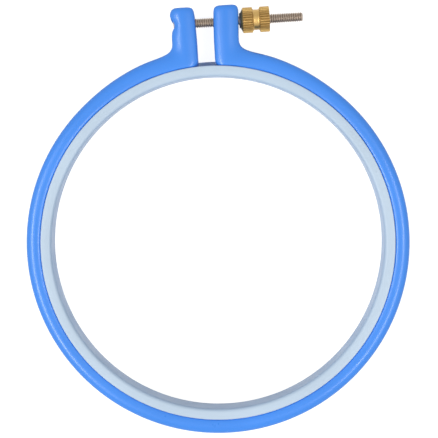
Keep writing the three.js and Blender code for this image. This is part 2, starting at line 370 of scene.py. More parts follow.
def spin_on(angle, steps=1):
    """Spin the selected end of the ring towards the gap, anticlockwise seen from the front.

    The operator itself counts clockwise.
    """
    bpy.ops.mesh.spin(steps=steps, angle=-angle, center=ring_centre, axis=Z_AXIS)


def scale_end(share):
    """Scale the selected end of the ring away from the ring's centre."""
    bpy.ops.transform.resize(value=(share, share, 1), center_override=ring_centre)


def spin_half_ring():
    piece = draw_section()
    plain = stand_out(RING_STEP, RING_STEP)
    bpy.ops.mesh.select_all(action="SELECT")
    scale_end(plain)
    sweep = math.pi - LAST_RING_ANGLE
    spin_on(sweep, steps=round(sweep / RING_STEP))
    present = plain
    angles = [LAST_RING_ANGLE + RING_STEP, *column_angles]
    for i in range(1, len(angles)):
        before = angles[i - 1] - angles[i]
        after = angles[i] - angles[i + 1] if i + 1 < len(angles) else 0
        if i > 1:
            spin_on(before)
        wanted = stand_out(before, after)
        scale_end(wanted / present)
        present = wanted
    return piece


# %% [markdown]
# Towards the gap the wall gets thicker, to carry the lugs. Its outer edge there is part of a
# second circle, a little nearer to the lugs, so the outer part of each loop moves out to that
# circle. The last loop is then flattened, because the gap's two faces are parallel.

# %% Thicken the ring's ends
LOOP_REACH = 0.002  # radians, within which a vertex belongs to a loop


def on_loop(place, angle):
    """Whether a place lies on the cage's loop at an angle from the gap's middle."""
    return near(math.atan2(place.x, place.y - ring_y), angle, LOOP_REACH)


def thicken_ends(piece):
    """Move the outer part of each loop near the gap outwards, then flatten the last loop."""
    inside = (clamp_bore + crown_radius) / 2
    for angle in [LAST_RING_ANGLE + 2 * RING_STEP, LAST_RING_ANGLE + RING_STEP, *column_angles]:
        swell = swell_at(angle)
        moved = shift(
            piece,
            lambda p, v: on_loop(p, angle) and radius_of(p) > inside,
            (swell * math.sin(angle), swell * math.cos(angle), 0),
        )
        print("wall", round(math.degrees(angle), 1), "degrees from the gap:", moved, "vertices")
    pick(piece, "VERT", lambda p, v: on_loop(p, column_angles[-1]))
    bpy.ops.transform.resize(value=(0, 1, 1), center_override=(lug_inner, 0, 0))


# %% [markdown]
# The lugs are extruded from the outer wall. Their front runs straight up, so the three front loops
# of the ring are levelled under them first, and fall away a little to both sides. Then each
# extrusion adds a row, and the rows near the top and beside the ring keep the distance that rounds
# those corners.

# %% Raise the lug and mirror the half ring
# the lug's rows, from the ring's centre
ROW_HEIGHTS = [73.0 * MM, 75.2 * MM, 76.5 * MM, 79.0 * MM, 81.2 * MM, lug_top]
COLUMN_MARGIN = 0.1 * MM
WALL_MARGIN = 0.5 * MM
FACES_OUT = 0.9  # the least share of a face's normal that points away from the ring


def in_lug_columns(place):
    return place.y > ring_y and place.x < lug_outer + COLUMN_MARGIN


def on_outer_wall(place):
    return radius_of(place) > clamp_radius - WALL_MARGIN


def level_lug_columns(piece):
    """Flatten the ring's front beside the gap, and widen the rounding of its edges."""
    wall_loops = front - (SHOULDER_DOWN + CROWN_SUPPORT) / 2
    bore_loops = front - (BORE_SHOULDER_DOWN + CROWN_SUPPORT_BORE) / 2

    def at_front(place):
        return in_lug_columns(place) and near(place.z, front)

    def at_wall(height):
        return lambda p, v: in_lug_columns(p) and on_outer_wall(p) and near(p.z, height)

    shift(
        piece,
        lambda p, v: in_lug_columns(p) and on_outer_wall(p) and p.z > wall_loops,
        (0, SHOULDER_IN, 0),
    )
    pick(
        piece,
        "VERT",
        lambda p, v: in_lug_columns(p) and p.z > (wall_loops if on_outer_wall(p) else bore_loops),
    )
    bpy.ops.transform.resize(value=(1, 1, 0), center_override=(0, 0, front))
    shift(
        piece,
        lambda p, v: at_front(p) and on_outer_wall(p) and on_loop(p, lug_side_angle),
        (0, 0, -LUG_FALL_OUTER),
    )
    shift(piece, lambda p, v: at_front(p) and near(p.x, lug_inner), (0, 0, -LUG_FALL_GAP))
    shift(piece, lambda p, v: at_front(p), (0, 0, LUG_CROWN_UP))
    shift(piece, at_wall(front - CROWN_SUPPORT), (0, 0, CROWN_SUPPORT - LUG_SUPPORT))
    shift(piece, at_wall(clamp_back + BACK_SUPPORT), (0, 0, LUG_SUPPORT - BACK_SUPPORT))


def raise_lug(piece):
    pick(
        piece,
        "FACE",
        lambda p, f: in_lug_columns(p) and on_outer_wall(p) and f.normal.y > FACES_OUT,
    )
    first = ROW_HEIGHTS[0]
    bpy.ops.mesh.extrude_region_move(
        TRANSFORM_OT_translate={"value": (0, first - clamp_radius, 0)}
    )
    bpy.ops.transform.resize(value=(1, 0, 1), center_override=(0, ring_y + first, 0))
    for lower, upper in zip(ROW_HEIGHTS, ROW_HEIGHTS[1:]):
        rise = upper - lower
        bpy.ops.mesh.extrude_region_move(
            TRANSFORM_OT_translate={"value": (LUG_LEAN * rise, rise, 0)}
        )


def mirror_half(piece):
    pick(piece, "FACE", lambda p, f: near(p.x, 0))
    bpy.ops.mesh.delete(type="ONLY_FACE")
    pick(piece, "VERT", lambda p, v: near(p.x, 0) and not v.link_faces)
    bpy.ops.mesh.delete(type="VERT")
    pick(piece, "EDGE", lambda p, e: near(p.x, 0) and not e.link_faces)
    bpy.ops.mesh.delete(type="EDGE")
    bpy.ops.object.mode_set(mode="OBJECT")
    apply_modifier(piece, "MIRROR", use_axis=(True, False, False), merge_threshold=MERGE)
    bpy.ops.object.mode_set(mode="EDIT")
    close_up()


# %% [markdown]
# The left lug has a shallow scoop in its outer face, round the head of the screw, with a soft lip
# above and below it. It is made by moving the rows of its outer edge in and out.

# %% Scoop the left lug and smooth the cage
SCOOP = [0.0 * MM, 0.1 * MM, 0.5 * MM, 1.62 * MM, -0.38 * MM, 0.86 * MM]  # for each row, upwards
SKIN_LEVELS = 3


def scoop_left_lug(piece):
    least_x = -2 * lug_outer
    most_x = -(lug_outer - LUG_SIDE_SUPPORT / 2)
    for height, inwards in zip(ROW_HEIGHTS, SCOOP):
        shift(
            piece,
            lambda p, v: least_x < p.x < most_x and near(p.y, ring_y + height),
            (inwards, 0, 0),
        )


def smooth_cage(piece):
    bpy.ops.object.mode_set(mode="OBJECT")
    apply_modifier(piece, "SUBSURF", levels=SKIN_LEVELS, render_levels=SKIN_LEVELS)


# %% [markdown]
# The lugs are bored last, through the finished skin, because a Boolean cut leaves the crisp edge
# that a drill does. The left lug also gets a six-sided pocket, which keeps the head from turning.

# %% Bore the lugs for the screw
HOLE_RADIUS = 2.05 * MM
RIM_CHAMFER = 0.2 * MM
POCKET_FLATS = 6.6 * MM
POCKET_ROUND = 0.4 * MM
HEAD_HEIGHT = 2.0 * MM
POCKET_DEEPER = 0.3 * MM
BORE_VERTICES = 48
ON_SCREW = (0, math.pi / 2, 0)  # lays a tool's own Z axis along the screw


def bore_tool(low_x, high_x):
    """A round cutter with flared ends, which leave a small chamfer at both faces of a lug."""
    middle_x = (low_x + high_x) / 2
    length = high_x - low_x - 2 * RIM_CHAMFER
    flare = 3 * RIM_CHAMFER  # outwards and along alike, past the lug's faces
    wide = 1 + flare / HOLE_RADIUS
    bpy.ops.mesh.primitive_cylinder_add(
        vertices=BORE_VERTICES,
        radius=HOLE_RADIUS,
        depth=length,
        location=(middle_x, screw_y, screw_z),
        rotation=ON_SCREW,
    )
    tool = start_piece("bore_tool")
    for side in (-1, 1):
        end_x = middle_x + side * length / 2
        pick(tool, "FACE", lambda p, f: near(p.x, end_x))
        bpy.ops.mesh.extrude_region_move(TRANSFORM_OT_translate={"value": (side * flare, 0, 0)})
        bpy.ops.transform.resize(value=(1, wide, wide), center_override=(end_x, screw_y, screw_z))
    close_up()
    bpy.ops.object.mode_set(mode="OBJECT")
    return tool


def corner_radius(flats):
    """The distance from a hexagon's centre to its corners, from that across its flats."""
    return flats / 2 / math.cos(math.pi / 6)


def pocket_tool(floor_x):
    """A six-sided cutter with rounded corners, for the pocket that holds the screw's head."""
    depth = 4 * HEAD_HEIGHT  # reaches well out of the lug
    bpy.ops.mesh.primitive_cylinder_add(
        vertices=6,
        radius=corner_radius(POCKET_FLATS),
        depth=depth,
        location=(floor_x - depth / 2, screw_y, screw_z),
        rotation=ON_SCREW,
    )
    tool = start_piece("pocket_tool")
    pick(tool, "EDGE", lambda p, e: near(p.x, floor_x - depth / 2))
    bpy.ops.mesh.bevel(offset=POCKET_ROUND, segments=3)
    bpy.ops.object.mode_set(mode="OBJECT")
    return tool


def outer_ring():
    piece = spin_half_ring()
    thicken_ends(piece)
    level_lug_columns(piece)
    raise_lug(piece)
    mirror_half(piece)
    scoop_left_lug(piece)
    smooth_cage(piece)
    gap_face = lug_inner + LUG_LEAN * (screw_y - ring_y - ROW_HEIGHTS[0])
    outer_face = gap_face + LUG_WIDTH
    pocket_floor = screw_low.x + HEAD_HEIGHT + POCKET_DEEPER
    cut(piece, bore_tool(gap_face, outer_face))
    cut(piece, bore_tool(-outer_face, -gap_face))
    cut(piece, pocket_tool(pocket_floor))
    finish_piece(piece)
    return piece


outer_piece = outer_ring()

# %% [markdown]
# ## The screw
#
# The thread has 32 turns to the inch. It is real here, not painted on: one tooth's outline is
# drawn, and the Screw modifier winds it round the axis and lifts it by one pitch each turn. The
# winding starts and ends past the screw's ends, and what lies outside a plain rod with a chamfered
# tip is then cut away, as a die leaves it.

# %% Model the screw
PITCH = 0.794 * MM
SCREW_RADIUS = 1.7 * MM
THREAD_DEPTH = 0.36 * MM
CREST = 0.24 * MM
ROOT = 0.14 * MM
THREAD_STEPS = 32
THREAD_IN_HEAD = 1.0 * MM  # how far the thread's skin starts inside the head

head_end = screw_low.x + HEAD_HEIGHT
screw_length = screw_high.x - head_end
rod_length = screw_length + THREAD_IN_HEAD


def wound_thread():
    """The thread's skin, wound round the Z axis from inside the head to the tip."""
    bpy.ops.mesh.primitive_plane_add(size=PITCH, location=(SCREW_RADIUS - THREAD_DEPTH, 0, 0))
    piece = start_piece("screw_with_thread")
    bpy.ops.mesh.merge(type="CENTER")
    flank = (PITCH - CREST - ROOT) / 2
    tooth = [(0, ROOT), (THREAD_DEPTH, flank), (0, CREST), (-THREAD_DEPTH, flank)]
    for outwards, upwards in tooth:
        bpy.ops.mesh.extrude_vertices_move(
            TRANSFORM_OT_translate={"value": (outwards, 0, upwards)}
        )
    bpy.ops.object.mode_set(mode="OBJECT")
    turns = math.ceil(rod_length / PITCH) + 2  # one to spare at each end
    apply_modifier(
        piece,
        "SCREW",
        axis="Z",
        angle=2 * math.pi,
        screw_offset=PITCH,
        iterations=turns,
        steps=THREAD_STEPS,
        render_steps=THREAD_STEPS,
        use_merge_vertices=False,
    )
    bpy.ops.object.mode_set(mode="EDIT")
    bpy.ops.mesh.select_all(action="SELECT")
    bpy.ops.mesh.remove_doubles(threshold=MERGE)
    for height, below in [(PITCH, True), (PITCH + rod_length, False)]:
        bpy.ops.mesh.select_all(action="SELECT")
        bpy.ops.mesh.bisect(
            plane_co=(0, 0, height),
            plane_no=Z_AXIS,
            use_fill=True,
            clear_inner=below,
            clear_outer=not below,
            threshold=ON_PLANE,
        )
    close_up()
    bpy.ops.transform.translate(value=(0, 0, -PITCH - THREAD_IN_HEAD))
    bpy.ops.object.mode_set(mode="OBJECT")
    return piece


# %% [markdown]
# The tip and the head are each cut once by a cylinder with a chamfered end. The tip gets a lead,
# and the hexagon's outer corners are turned off, as on a machine screw.

# %% Cut the tip and add the head
HEAD_FLATS = 6.0 * MM
HEAD_CHAMFER = 0.45 * MM
TIP_CHAMFER = 0.4 * MM
TURNED_CLEAR = 1.01  # the turned tool is this much wider, so that only its chamfer cuts


def flat_at(height):
    """The question whether an edge lies flat at a height."""
    return lambda p, e: near(e.verts[0].co.z, height) and near(p.z, height)


def tip_tool():
    """A rod wider than the thread, whose chamfered end shapes the tip."""
    length = rod_length + PITCH
    bpy.ops.mesh.primitive_cylinder_add(
        vertices=BORE_VERTICES,
        radius=SCREW_RADIUS + PITCH,
        depth=length,
        location=(0, 0, screw_length - length / 2),
    )
    tool = start_piece("tip_tool")
    pick(tool, "EDGE", flat_at(screw_length))
    bpy.ops.mesh.bevel(offset=TIP_CHAMFER + PITCH, segments=1)
    bpy.ops.object.mode_set(mode="OBJECT")
    return tool


def screw_head():
    """A six-sided head whose outer corners are turned off."""
    corner = corner_radius(HEAD_FLATS)
    place = {"depth": HEAD_HEIGHT, "location": (0, 0, -HEAD_HEIGHT / 2)}
    bpy.ops.mesh.primitive_cylinder_add(vertices=6, radius=corner, **place)
    head = start_piece("head_blank")
    bpy.ops.object.mode_set(mode="OBJECT")
    bpy.ops.mesh.primitive_cylinder_add(vertices=BORE_VERTICES, radius=corner, **place)
    tool = start_piece("turned_tool")
    bpy.ops.transform.resize(value=(TURNED_CLEAR, TURNED_CLEAR, 1))
    pick(tool, "EDGE", flat_at(-HEAD_HEIGHT))
    bpy.ops.mesh.bevel(offset=HEAD_CHAMFER, segments=1)
    bpy.ops.object.mode_set(mode="OBJECT")
    cut(head, tool, "INTERSECT")
    return head


def clamp_screw():
    piece = wound_thread()
    cut(piece, tip_tool(), "INTERSECT")
    cut(piece, screw_head(), "UNION")
    place = Matrix.Translation((head_end, screw_y, screw_z)) @ Euler(ON_SCREW).to_matrix().to_4x4()
    piece.data.transform(place)
    bpy.ops.object.mode_set(mode="EDIT")
    close_up()
    finish_piece(piece, smooth_angle=30)
    return piece


screw_piece = clamp_screw()

# %% [markdown]
# ## The knurled nut
#
# The nut is made as on a lathe. A bar with straight teeth all round is rolled first: here a circle
# whose every other pair of vertices is drawn in, pulled out along the screw. Then the turned shape
# is cut from it: a nose that bears on the lug, a chamfer that fades the teeth, a groove between
# two drums, and the bore. Cutting in that order leaves the teeth open at each edge, as on the real
# nut.

# %% Model the nut
TEETH = 32
TOOTH_DEPTH = 0.38 * MM
NUT_CHAMFER_END = 1.3 * MM
NOSE_RADIUS = 2.7 * MM
NOSE_LENGTH = 0.4 * MM
GROOVE_START = 4.7 * MM
GROOVE_END = 7.3 * MM
GROOVE_RADIUS = 3.6 * MM
GROOVE_ROUND = 0.5 * MM
DRUM_EDGE = 0.14 * MM
NUT_BORE = 1.9 * MM
BORE_CHAMFER = 0.4 * MM
TURNED_STEPS = 128

nut_radius = (nut_high.z - nut_low.z) / 2
nut_length = nut_high.x - nut_low.x


def toothed_bar():
    """A bar along the screw with straight teeth, four vertices to a tooth."""
    bpy.ops.mesh.primitive_circle_add(
        vertices=4 * TEETH,
        radius=nut_radius,
        fill_type="NGON",
        location=(nut_low.x - DRUM_EDGE, screw_y, screw_z),
        rotation=ON_SCREW,
    )
    bar = start_piece("brass_nut")
    tooth = 2 * math.pi / TEETH

    def in_valley(place):
        """Of a tooth's vertices, at 0, 1/4, 1/2 and 3/4 of its turn, the last two."""
        turn = math.atan2(place.z - screw_z, place.y - screw_y) / tooth
        return 3 / 8 < turn % 1 < 7 / 8

    valley = 1 - TOOTH_DEPTH / nut_radius
    found = pick(bar, "VERT", lambda p, v: in_valley(p))
    bpy.ops.transform.resize(value=(1, valley, valley), center_override=(0, screw_y, screw_z))
    print("nut has", TEETH, "teeth, from", found, "valley vertices")
    bpy.ops.mesh.select_all(action="SELECT")
    bpy.ops.mesh.extrude_region_move(
        TRANSFORM_OT_translate={"value": (nut_length + 2 * DRUM_EDGE, 0, 0)}
    )
    close_up()
    bpy.ops.object.mode_set(mode="OBJECT")
    return bar


def turned_nut():
    """The nut's turned shape: its outline from the bore out to the drums, spun round the screw."""
    wide = nut_radius + DRUM_EDGE
    slope = (NUT_CHAMFER_END - NOSE_LENGTH) / (nut_radius - NOSE_RADIUS)
    rim = nut_radius - DRUM_EDGE
    outline = [
        (NOSE_RADIUS, 0),
        (NOSE_RADIUS, NOSE_LENGTH),
        (wide, NUT_CHAMFER_END + DRUM_EDGE * slope),
        (wide, GROOVE_START - 2 * DRUM_EDGE),
        (rim, GROOVE_START),
        (GROOVE_RADIUS, GROOVE_START + DRUM_EDGE),
        (GROOVE_RADIUS, GROOVE_END - DRUM_EDGE),
        (rim, GROOVE_END),
        (wide, GROOVE_END + 2 * DRUM_EDGE),
        (wide, nut_length - 2 * DRUM_EDGE),
        (rim, nut_length),
        (NUT_BORE + BORE_CHAMFER, nut_length),
        (NUT_BORE, nut_length - BORE_CHAMFER),
        (NUT_BORE, 0),
    ]
    bpy.ops.mesh.primitive_plane_add(
        size=PITCH, location=(nut_low.x, screw_y + NUT_BORE, screw_z)
    )
    tool = start_piece("turned_nut_tool")
    bpy.ops.mesh.merge(type="CENTER")
    radius, along = outline[-1]
    for next_radius, next_along in outline:
        bpy.ops.mesh.extrude_vertices_move(
            TRANSFORM_OT_translate={"value": (next_along - along, next_radius - radius, 0)}
        )
        radius, along = next_radius, next_along
    groove_corners = (GROOVE_START + DRUM_EDGE, GROOVE_END - DRUM_EDGE)
    pick(
        tool,
        "VERT",
        lambda p, v: near(p.y, screw_y + GROOVE_RADIUS)
        and any(near(p.x, nut_low.x + corner) for corner in groove_corners),
    )
    bpy.ops.mesh.bevel(offset=GROOVE_ROUND, segments=4, affect="VERTICES")
    bpy.ops.mesh.select_all(action="SELECT")
    bpy.ops.mesh.remove_doubles(threshold=MERGE)
    bpy.ops.mesh.spin(
        steps=TURNED_STEPS, angle=2 * math.pi, center=(0, screw_y, screw_z), axis=(1, 0, 0)
    )
    close_up()
    bpy.ops.object.mode_set(mode="OBJECT")
    return tool


def knurled_nut():
    piece = toothed_bar()
    cut(piece, turned_nut(), "INTERSECT")
    bpy.ops.object.mode_set(mode="EDIT")
    close_up()
    finish_piece(piece, smooth_angle=28)
    return piece


nut_piece = knurled_nut()

# %% [markdown]
# ## Finishes
#
# Two effects are shared. Moulded plastic is never quite even: its colour drifts a little, its skin
# has a faint orange peel, and handling leaves hair scratches. On the pale plastic a second colour,
# darker and bluer, takes over as the surface turns on its side: painted shade and a painted blue
# cast from the blue ring behind, in its walls. Turned metal has fine lines that run round its
# axis, blotches of tarnish, and painted shade between its teeth: the shade is found by the
# distance from the screw's axis, most at the depth of the valleys and none at the crests. Each
# effect is a node group with its own inputs, placed in each material with its own values, and it
# reads Object coordinates.


# %% Node helpers
def new_material(name):
    material = bpy.data.materials.new(name)
    material.use_nodes = True
    nodes = material.node_tree.nodes
    return material, nodes["Principled BSDF"]


def place_group(material, group, **values):
    """Place a group in a material. worn_colour sets the socket Worn Colour, and so on."""
    node = material.node_tree.nodes.new("ShaderNodeGroup")
    node.node_tree = group
    for name, value in values.items():
        if isinstance(value, tuple):
            value = (*value, 1)
        node.inputs[name.replace("_", " ").title()].default_value = value
    return node


class GroupBuilder:
    """A new node group, with short ways to add its sockets, nodes and links."""

    def __init__(self, name):
        self.tree = bpy.data.node_groups.new(name, "ShaderNodeTree")
        self.entry = self.tree.nodes.new("NodeGroupInput")
        self.exit = self.tree.nodes.new("NodeGroupOutput")

    def socket(self, name, kind, value=None, way="INPUT"):
        made = self.tree.interface.new_socket(name=name, in_out=way, socket_type=kind)
        if value is not None:
            made.default_value = value

    def node(self, kind, **settings):
        made = self.tree.nodes.new(kind)
        for key, value in settings.items():
            setattr(made, key, value)
        return made

    def link(self, out_socket, in_socket):
        self.tree.links.new(out_socket, in_socket)

    def noise(self, where, scale, detail=3.0, roughness=0.5):
        made = self.node("ShaderNodeTexNoise")
        made.inputs["Scale"].default_value = scale
        made.inputs["Detail"].default_value = detail
        made.inputs["Roughness"].default_value = roughness
        self.link(where, made.inputs["Vector"])
        return made.outputs["Fac"]

    def spread(self, value, source, target=(0, 1)):
        """Spread a narrow range of values over a wider one."""
        made = self.node("ShaderNodeMapRange")
        made.inputs["From Min"].default_value = source[0]
        made.inputs["From Max"].default_value = source[1]
        made.inputs["To Min"].default_value = target[0]
        made.inputs["To Max"].default_value = target[1]
        self.link(value, made.inputs["Value"])
        return made.outputs["Result"]

    def maths(self, operation, first, second=0):
        made = self.node("ShaderNodeMath", operation=operation)
        for socket, value in zip(made.inputs, (first, second)):
            if isinstance(value, (int, float)):
                socket.default_value = value
            else:
                self.link(value, socket)
        return made.outputs["Value"]


# %% The moulded plastic effect
HAIR_WEAR = 0.35  # how far a hair scratch wears, where a bare edge is 1
HAIR_DEPTH = 0.5  # how deep a hair scratch is, where the orange peel is 1
WEAR_ROUGHENS = 0.3


def moulded_group():
    build = GroupBuilder("moulded_plastic")
    build.socket("Colour", "NodeSocketColor", (1, 1, 1, 1))
    build.socket("Worn Colour", "NodeSocketColor", (1, 1, 1, 1))
    build.socket("Side Colour", "NodeSocketColor", (1, 1, 1, 1))
    build.socket("Drift", "NodeSocketFloat", 0.04)
    build.socket("Wear", "NodeSocketFloat", 0.3)
    build.socket("Roughness", "NodeSocketFloat", 0.35)
    build.socket("Peel", "NodeSocketFloat", 0.1)
    build.socket("Colour", "NodeSocketColor", way="OUTPUT")
    build.socket("Roughness", "NodeSocketFloat", way="OUTPUT")
    build.socket("Normal", "NodeSocketVector", way="OUTPUT")
    texture = build.node("ShaderNodeTexCoord")
    where = texture.outputs["Object"]

    # Painted shade: faces turned on their side take a darker, bluer colour, in place of the shade
    # in the walls and the blue ring's light through them.
    facing = build.node("ShaderNodeSeparateXYZ")
    build.link(texture.outputs["Normal"], facing.inputs["Vector"])
    upward = build.maths("ABSOLUTE", facing.outputs["Z"])
    side_shade_mix = build.node("ShaderNodeMix", data_type="RGBA")
    build.link(upward, side_shade_mix.inputs["Factor"])
    build.link(build.entry.outputs["Side Colour"], side_shade_mix.inputs["A"])
    build.link(build.entry.outputs["Colour"], side_shade_mix.inputs["B"])

    drift = build.spread(build.noise(where, scale=28, detail=2.0), (0.35, 0.65), (-1, 1))
    drift = build.maths("MULTIPLY", drift, build.entry.outputs["Drift"])
    brightness = build.maths("ADD", drift, 1.0)
    shade = build.node("ShaderNodeHueSaturation")
    build.link(side_shade_mix.outputs["Result"], shade.inputs["Color"])
    build.link(brightness, shade.inputs["Value"])

    stretch = build.node("ShaderNodeMapping")
    stretch.inputs["Scale"].default_value = (1.0, 14.0, 5.0)
    stretch.inputs["Rotation"].default_value = (0.2, 0.1, 0.7)
    build.link(where, stretch.inputs["Vector"])
    hairs = build.noise(stretch.outputs["Vector"], scale=260, detail=4.0, roughness=0.6)
    hairs = build.spread(hairs, (0.66, 0.74))
    edge = build.node("ShaderNodeNewGeometry").outputs["Pointiness"]
    edge = build.spread(edge, (0.53, 0.62))
    patches = build.spread(build.noise(where, scale=140), (0.45, 0.65))
    rub = build.maths("MULTIPLY", edge, patches)
    rub = build.maths("MAXIMUM", rub, build.maths("MULTIPLY", hairs, HAIR_WEAR))
    rub = build.maths("MULTIPLY", rub, build.entry.outputs["Wear"])
    worn = build.node("ShaderNodeMix", data_type="RGBA")
    build.link(rub, worn.inputs["Factor"])
    build.link(shade.outputs["Color"], worn.inputs["A"])
    build.link(build.entry.outputs["Worn Colour"], worn.inputs["B"])
    build.link(worn.outputs["Result"], build.exit.inputs["Colour"])

    smear = build.noise(where, scale=75, detail=4.0, roughness=0.6)
    smear = build.spread(smear, (0.3, 0.7), (-0.06, 0.08))
    rough = build.maths("ADD", build.entry.outputs["Roughness"], smear)
    rough = build.maths("ADD", rough, build.maths("MULTIPLY", rub, WEAR_ROUGHENS))
    build.link(rough, build.exit.inputs["Roughness"])

    peel = build.noise(where, scale=700, detail=2.0)
    height = build.maths("SUBTRACT", peel, build.maths("MULTIPLY", hairs, HAIR_DEPTH))
    bump = build.node("ShaderNodeBump")
    bump.inputs["Distance"].default_value = 0.05 * MM
    build.link(build.entry.outputs["Peel"], bump.inputs["Strength"])
    build.link(height, bump.inputs["Height"])
    build.link(bump.outputs["Normal"], build.exit.inputs["Normal"])
    return build.tree


moulded = moulded_group()
print("the moulded plastic effect has", len(moulded.nodes), "nodes")


# %% The turned metal effect
BLOTCH_DIRT = 0.3  # how dark a blotch of tarnish is, where the painted shade at a valley's depth is 1
DIRT_ROUGHENS = 0.35


def turned_group():
    build = GroupBuilder("turned_metal")
    build.socket("Colour", "NodeSocketColor", (1, 1, 1, 1))
    build.socket("Dirt Colour", "NodeSocketColor", (0, 0, 0, 1))
    build.socket("Tarnish", "NodeSocketFloat", 0.4)
    build.socket("Roughness", "NodeSocketFloat", 0.3)
    build.socket("Lines", "NodeSocketFloat", 0.2)
    build.socket("Crest", "NodeSocketFloat", 1.0)
    build.socket("Valley", "NodeSocketFloat", 0.9)
    build.socket("Colour", "NodeSocketColor", way="OUTPUT")
    build.socket("Roughness", "NodeSocketFloat", way="OUTPUT")
    build.socket("Normal", "NodeSocketVector", way="OUTPUT")
    where = build.node("ShaderNodeTexCoord").outputs["Object"]

    along = build.node("ShaderNodeMapping")
    along.inputs["Scale"].default_value = (30.0, 1.0, 1.0)
    build.link(where, along.inputs["Vector"])
    lines = build.noise(along.outputs["Vector"], scale=420, roughness=0.6)

    blotches = build.noise(where, scale=520, detail=4.0, roughness=0.6)
    blotches = build.spread(blotches, (0.42, 0.66))
    across = build.node("ShaderNodeMapping")
    across.inputs["Scale"].default_value = (0.0, 1.0, 1.0)
    across.inputs["Location"].default_value = (0.0, -screw_y, -screw_z)
    build.link(where, across.inputs["Vector"])
    # Painted shade: darkest at the depth of the valleys and none at the crests, in place of the
    # shade between the teeth and in the thread; the blotches added to it are tarnish.
    radius = build.node("ShaderNodeVectorMath", operation="LENGTH")
    build.link(across.outputs["Vector"], radius.inputs[0])
    crest, valley = build.entry.outputs["Crest"], build.entry.outputs["Valley"]
    above = build.maths("ABSOLUTE", build.maths("SUBTRACT", radius.outputs["Value"], valley))
    above = build.maths("DIVIDE", above, build.maths("SUBTRACT", crest, valley))
    valley_shade = build.maths("MAXIMUM", build.maths("SUBTRACT", 1.0, above), 0.0)
    dirt = build.maths("MULTIPLY", blotches, BLOTCH_DIRT)
    dirt = build.maths("ADD", dirt, valley_shade)
    dirt = build.maths("MULTIPLY", dirt, build.entry.outputs["Tarnish"])
    mix = build.node("ShaderNodeMix", data_type="RGBA", clamp_factor=True)
    build.link(dirt, mix.inputs["Factor"])
    build.link(build.entry.outputs["Colour"], mix.inputs["A"])
    build.link(build.entry.outputs["Dirt Colour"], mix.inputs["B"])
    build.link(mix.outputs["Result"], build.exit.inputs["Colour"])

    grime = build.maths("MULTIPLY", dirt, DIRT_ROUGHENS)
    rough = build.maths("ADD", build.entry.outputs["Roughness"], grime)
    build.link(rough, build.exit.inputs["Roughness"])
    bump = build.node("ShaderNodeBump")
    bump.inputs["Distance"].default_value = 0.03 * MM
    build.link(build.entry.outputs["Lines"], bump.inputs["Strength"])
    build.link(lines, bump.inputs["Height"])
    build.link(bump.outputs["Normal"], build.exit.inputs["Normal"])
    return build.tree


turned = turned_group()
print("the turned metal effect has", len(turned.nodes), "nodes")


# %% The finishes
PLASTIC_IOR = 1.5
COAT_ROUGHNESS = 0.15


def wire(material, shader, effect):
    links = material.node_tree.links
    links.new(effect.outputs["Colour"], shader.inputs["Base Color"])
    links.new(effect.outputs["Roughness"], shader.inputs["Roughness"])
    links.new(effect.outputs["Normal"], shader.inputs["Normal"])


def plastic(name, coat, shine, **effects):
    material, shader = new_material(name)
    wire(material, shader, place_group(material, moulded, **effects))
    shader.inputs["IOR"].default_value = PLASTIC_IOR
    shader.inputs["Specular IOR Level"].default_value = shine
    shader.inputs["Coat Weight"].default_value = coat
    shader.inputs["Coat Roughness"].default_value = COAT_ROUGHNESS
    return material


def metal(name, crest, depth, **effects):
    """A turned metal. Its teeth or thread reach out to crest and are as deep as depth."""
    material, shader = new_material(name)
    effect = place_group(material, turned, crest=crest, valley=crest - depth, **effects)
    wire(material, shader, effect)
    shader.inputs["Metallic"].default_value = 1.0
    return material


blue = (0.041, 0.242, 0.80)
blue_plastic = plastic(
    "blue_plastic",
    coat=0.15,
    shine=0.5,
    colour=blue,
    worn_colour=(0.15, 0.38, 0.88),
    side_colour=blue,
    roughness=0.32,
    drift=0.03,
    wear=0.3,
    peel=0.08,
)
pale_plastic = plastic(
    "pale_plastic",
    coat=0.0,
    shine=0.3,
    colour=(0.492, 0.602, 0.718),
    worn_colour=(0.60, 0.70, 0.80),
    # painted shade and a painted blue cast on the walls
    side_colour=(0.37, 0.54, 0.80),
    roughness=0.34,
    drift=0.025,
    wear=0.25,
    peel=0.1,
)
brass = metal(
    "brass",
    crest=nut_radius,
    depth=TOOTH_DEPTH,
    colour=(0.56, 0.37, 0.135),
    dirt_colour=(0.14, 0.08, 0.02),
    roughness=0.4,
    tarnish=0.5,
    lines=0.25,
)
# Painted shade: a near-black navy for the nut's nose, in place of the shade in the slot between
# the lug and the nut and the lug's blue cast on it.
brass_in_painted_shade = metal(
    "brass_in_painted_shade",
    crest=nut_radius,
    depth=TOOTH_DEPTH,
    colour=(0.05, 0.066, 0.107),
    dirt_colour=(0.03, 0.03, 0.03),
    roughness=0.45,
    tarnish=0.5,
    lines=0.1,
)
# Painted reflection: the steel's warm brown tone stands in for the brass nut and warm surroundings
# reflected in plated steel.
steel_with_painted_warm_reflection = metal(
    "steel_with_painted_warm_reflection",
    crest=SCREW_RADIUS,
    depth=THREAD_DEPTH,
    colour=(0.47, 0.39, 0.32),
    dirt_colour=(0.12, 0.09, 0.07),
    roughness=0.28,
    tarnish=0.35,
    lines=0.2,
)
finishes = (blue_plastic, pale_plastic, brass, brass_in_painted_shade, steel_with_painted_warm_reflection)
print("finishes:", ", ".join(made.name for made in finishes))

# %% [markdown]
# ## Ride on the mechanism
#
# The inner ring, the screw and the nut each move with a body of the mechanism. The outer ring is
# one moulding that bends as the screw is let out. The frame holds it as two halves that turn at
# the seam opposite the lugs; the moulding here rides on neither and stays where it is built. The
# nut is dressed
# twice: its nose, in the narrow slot against the lug, is coloured near-black navy as painted
# shade.


def dress(piece, material, slot, *nodes):
    piece.data.materials.clear()
    piece.data.materials.append(material)
    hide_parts(*nodes)


